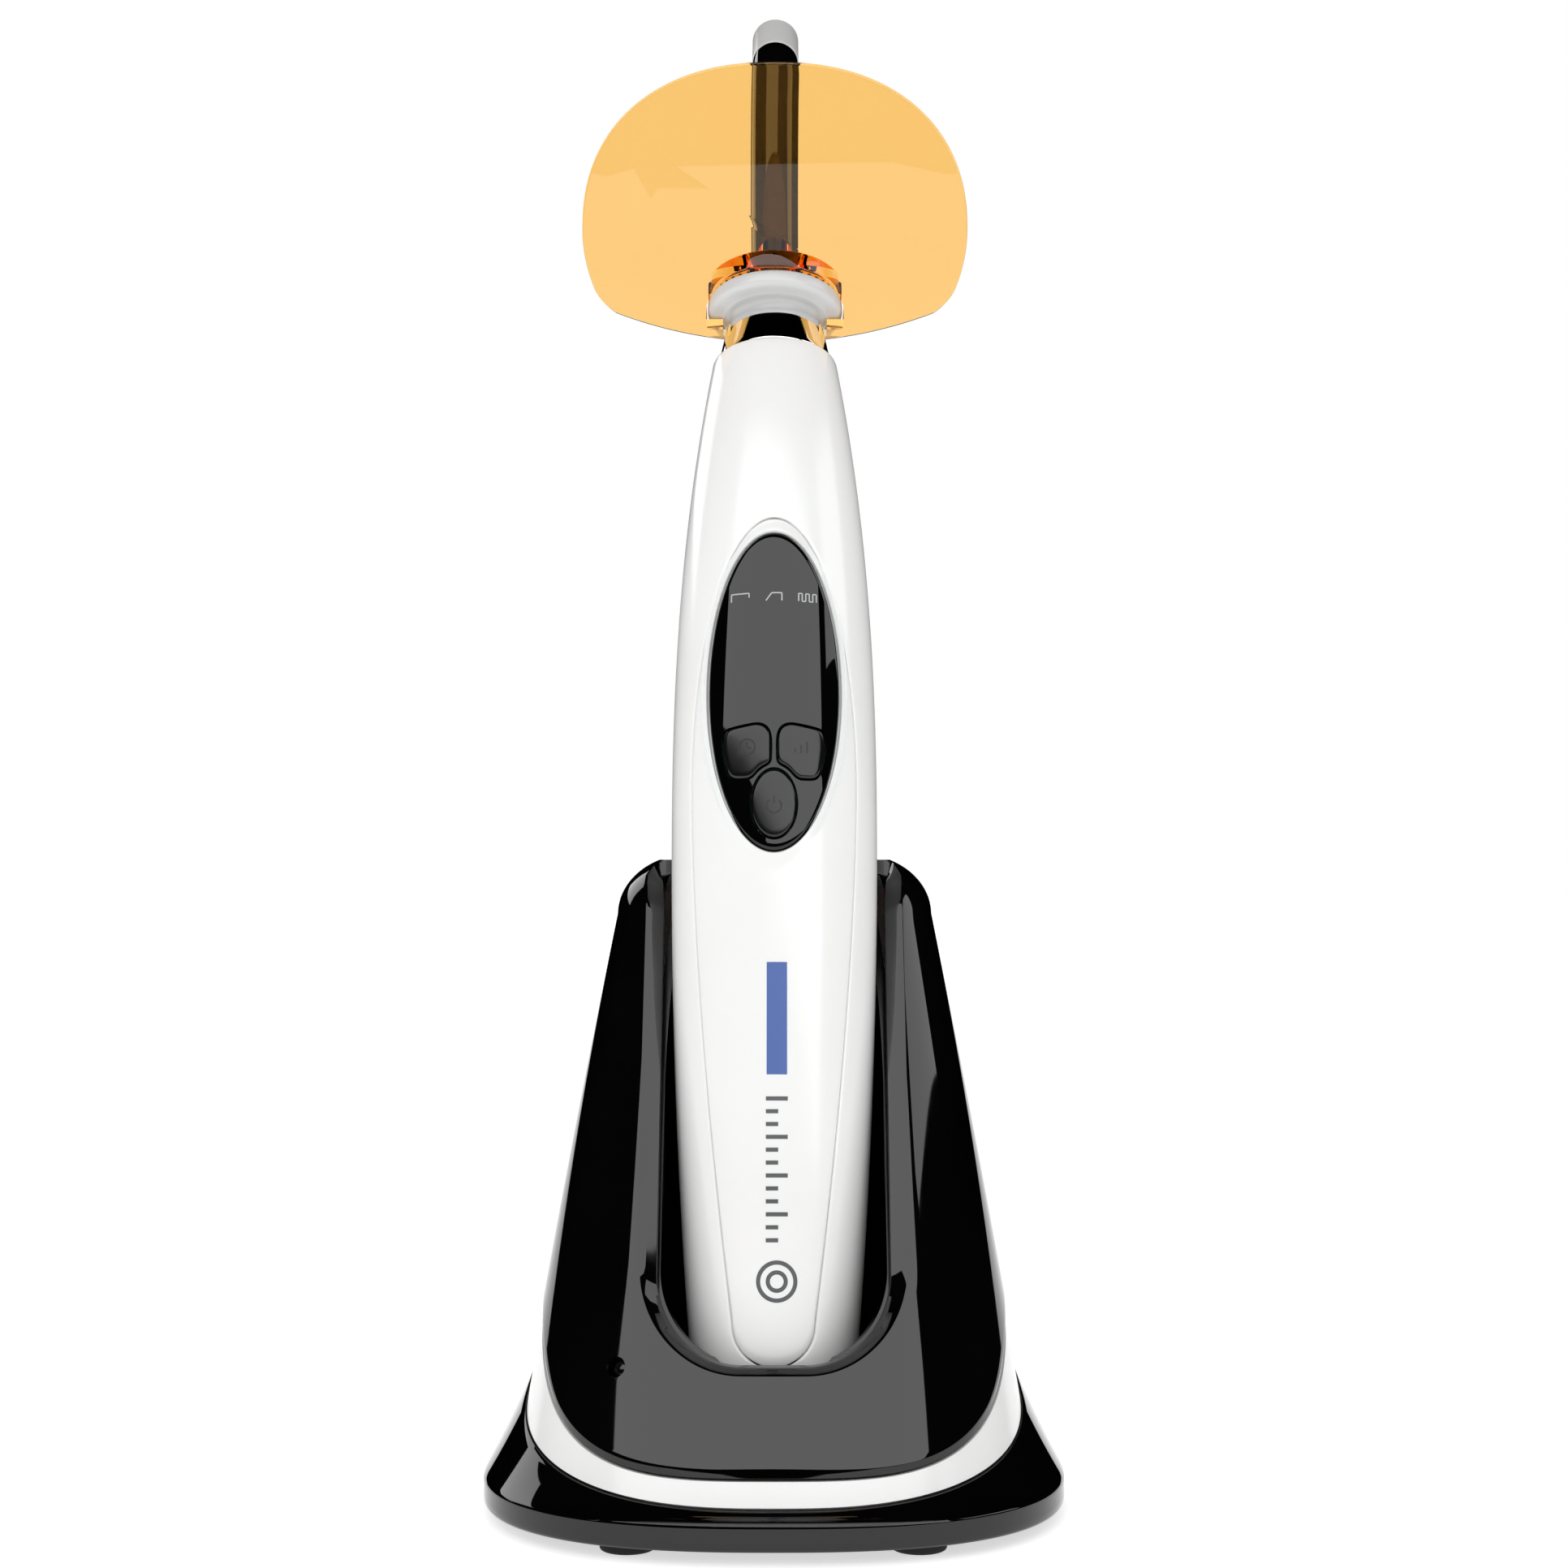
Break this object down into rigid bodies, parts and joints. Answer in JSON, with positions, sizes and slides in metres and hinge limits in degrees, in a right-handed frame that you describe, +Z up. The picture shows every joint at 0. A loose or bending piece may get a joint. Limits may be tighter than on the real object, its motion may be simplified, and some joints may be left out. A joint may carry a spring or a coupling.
{
  "type": "dental curing light",
  "caption": "Cordless dental curing light with a turning light guide and amber shield, standing in an open charging cradle on a flared base.",
  "frame": {"origin": "bottom centre of the whole object's box, on the table", "axes": "+Z up, +X to the right seen from the front, the front towards -Y"},
  "size_m": [0.0874, 0.0882, 0.2451],
  "materials": {
    "white_abs": "polished white ABS",
    "black_gloss_abs": "high-gloss black ABS",
    "dark_abs": "fine matt black ABS",
    "plated_steel": "plated",
    "chrome": "bright chrome plate",
    "aluminium": "turned",
    "gold_contact": "gold plated",
    "rubber": "matt",
    "circuit_board": "solder resist",
    "white_ceramic": "matt",
    "led_phosphor": "silicone over the emitter",
    "battery_sleeve": "shrink sleeve",
    "clear_acrylic": "clear",
    "fibre_glass": "polished fibre bundle",
    "black_rod": "glossy black cladding",
    "amber_acrylic": "transparent amber, polished"
  },
  "bodies": {
    "base": {"base_foot": "black_gloss_abs", "foot_plate": "dark_abs", "base_shell": "white_abs", "front_fascia": "black_gloss_abs", "cradle_liner": "dark_abs", "ballast_weight": "plated_steel", "charging_board": "circuit_board", "dc_inlet": "dark_abs", "indicator_lens": "clear_acrylic", "contact_block": "dark_abs", "rubber_foot_front_left": "rubber", "rubber_foot_front_right": "rubber", "rubber_foot_rear_left": "rubber", "rubber_foot_rear_right": "rubber", "base_screw_1": "plated_steel", "base_screw_2": "plated_steel", "base_screw_3": "plated_steel", "base_screw_4": "plated_steel"},
    "charge_pin_left": {"charge_pin_left": "gold_contact"},
    "charge_pin_right": {"charge_pin_right": "gold_contact"},
    "handpiece": {"rear_shell": "white_abs", "front_cover": "white_abs", "display_window": "black_gloss_abs", "display_module": "dark_abs", "main_board": "circuit_board", "inner_chassis": "dark_abs", "left_switch": "plated_steel", "right_switch": "plated_steel", "power_switch": "plated_steel", "beeper": "dark_abs", "battery": "battery_sleeve", "battery_contact": "gold_contact", "battery_spring": "plated_steel", "tail_plug": "dark_abs", "charge_contact_left": "gold_contact", "charge_contact_right": "gold_contact", "board_screw_1": "plated_steel", "board_screw_2": "plated_steel", "chrome_ring": "chrome", "guide_socket": "plated_steel", "led_lens": "clear_acrylic", "led_emitter": "led_phosphor", "led_board": "white_ceramic", "heat_sink": "aluminium"},
    "left_button": {"left_button": "black_gloss_abs"},
    "right_button": {"right_button": "black_gloss_abs"},
    "power_button": {"power_button": "black_gloss_abs"},
    "guide_seal": {"guide_seal": "rubber"},
    "light_guide": {"guide_ferrule": "white_abs", "light_rod": "black_rod", "tip_sleeve": "white_abs", "fibre_core": "fibre_glass"},
    "light_shield": {"light_shield": "amber_acrylic"}
  },
  "joints": [
    {"name": "charge_pin_left_press", "type": "slide", "parent": "base", "child": "charge_pin_left", "axis": [0, 0.1736, 0.9848], "range_m": [-0.0012, 0], "stiffness_N_per_m": 150, "springref_m": 0.001},
    {"name": "charge_pin_right_press", "type": "slide", "parent": "base", "child": "charge_pin_right", "axis": [0, 0.1736, 0.9848], "range_m": [-0.0012, 0], "stiffness_N_per_m": 150, "springref_m": 0.001},
    {"name": "handpiece_lift", "type": "slide", "parent": "base", "child": "handpiece", "axis": [0, 0.1736, 0.9848], "range_m": [0, 0.12]},
    {"name": "left_button_press", "type": "slide", "parent": "handpiece", "child": "left_button", "axis": [0, 0.9848, -0.1736], "range_m": [0, 0.0005], "stiffness_N_per_m": 1200, "springref_m": -0.0005},
    {"name": "right_button_press", "type": "slide", "parent": "handpiece", "child": "right_button", "axis": [0, 0.9848, -0.1736], "range_m": [0, 0.0005], "stiffness_N_per_m": 1200, "springref_m": -0.0005},
    {"name": "power_button_press", "type": "slide", "parent": "handpiece", "child": "power_button", "axis": [0, 0.9848, -0.1736], "range_m": [0, 0.0005], "stiffness_N_per_m": 1200, "springref_m": -0.0005},
    {"name": "guide_pull", "type": "slide", "parent": "handpiece", "child": "guide_seal", "axis": [0, 0.2924, 0.9563], "range_m": [0, 0.025]},
    {"name": "guide_turn", "type": "hinge", "parent": "guide_seal", "child": "light_guide", "pos_m": [0, 0.01551, 0.17853], "axis": [0, 0.2924, 0.9563], "continuous": true},
    {"name": "shield_turn", "type": "hinge", "parent": "light_guide", "child": "light_shield", "pos_m": [0, 0.01551, 0.17853], "axis": [0, 0.2924, 0.9563], "continuous": true}
  ]
}
